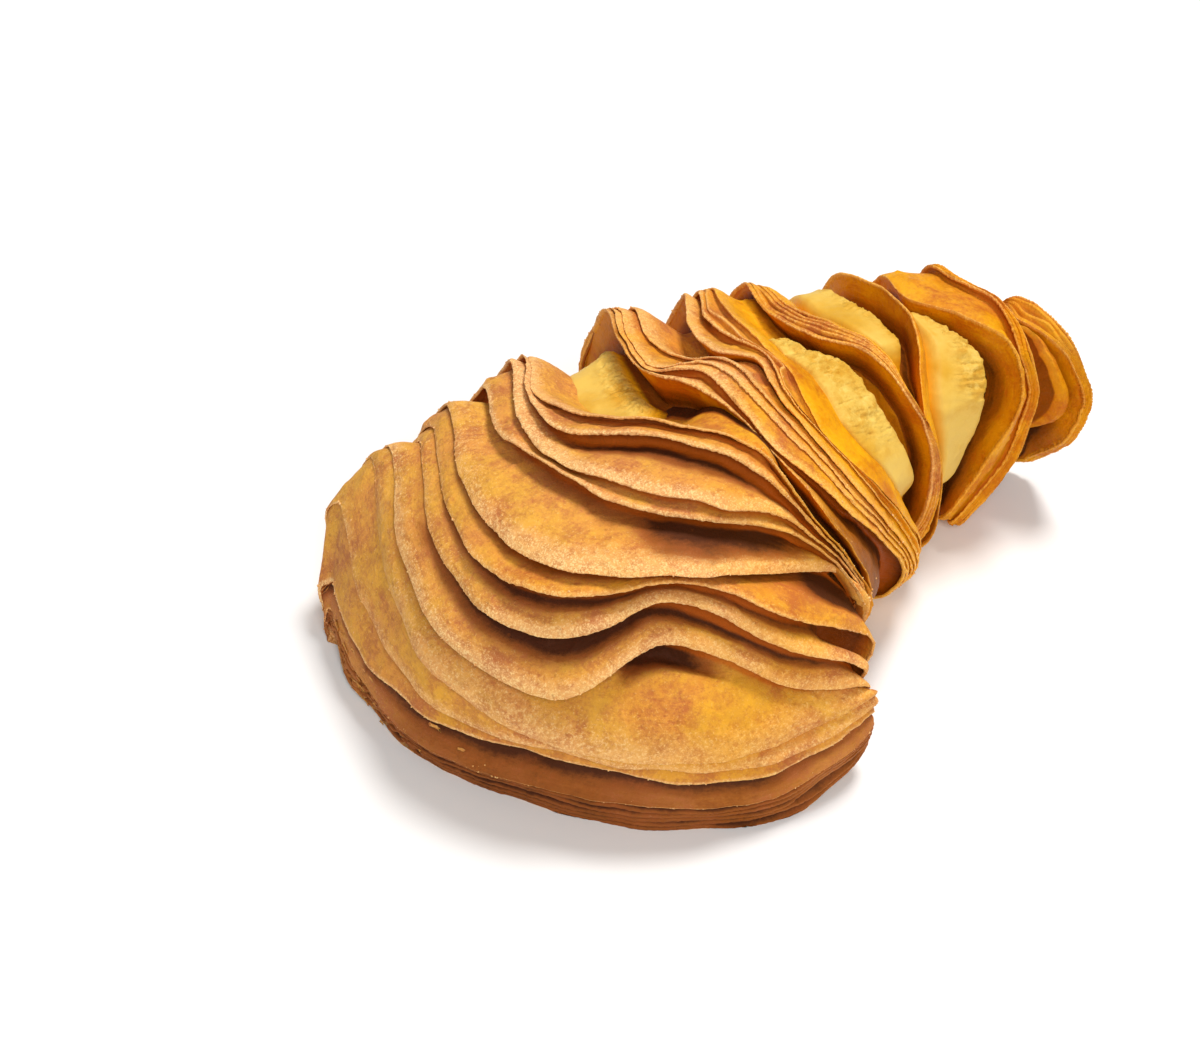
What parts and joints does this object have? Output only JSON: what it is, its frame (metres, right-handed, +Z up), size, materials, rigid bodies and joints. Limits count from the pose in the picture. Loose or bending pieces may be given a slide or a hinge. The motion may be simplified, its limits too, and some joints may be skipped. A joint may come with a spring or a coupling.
{
  "type": "lobster tail pastry",
  "caption": "Baked lobster tail pastry: a curved horn of thin flaky leaves, ruffled into ridges, round a choux core that shows between them.",
  "frame": {"origin": "middle of the flat underside's bounding box, on the table", "axes": "+X along the horn from the wide end to the tip, +Y to its left flank, +Z up"},
  "size_m": [0.134, 0.0861, 0.0566],
  "materials": {
    "baked_leaves": "dry baked flaky dough, dark in the clefts and pale at the leaf edges",
    "choux": "soft pale yellow baked choux, torn and crumbly where the leaves pulled away"
  },
  "bodies": {
    "root": {"pastry_shell": "baked_leaves", "choux_filling": "choux"}
  },
  "joints": []
}
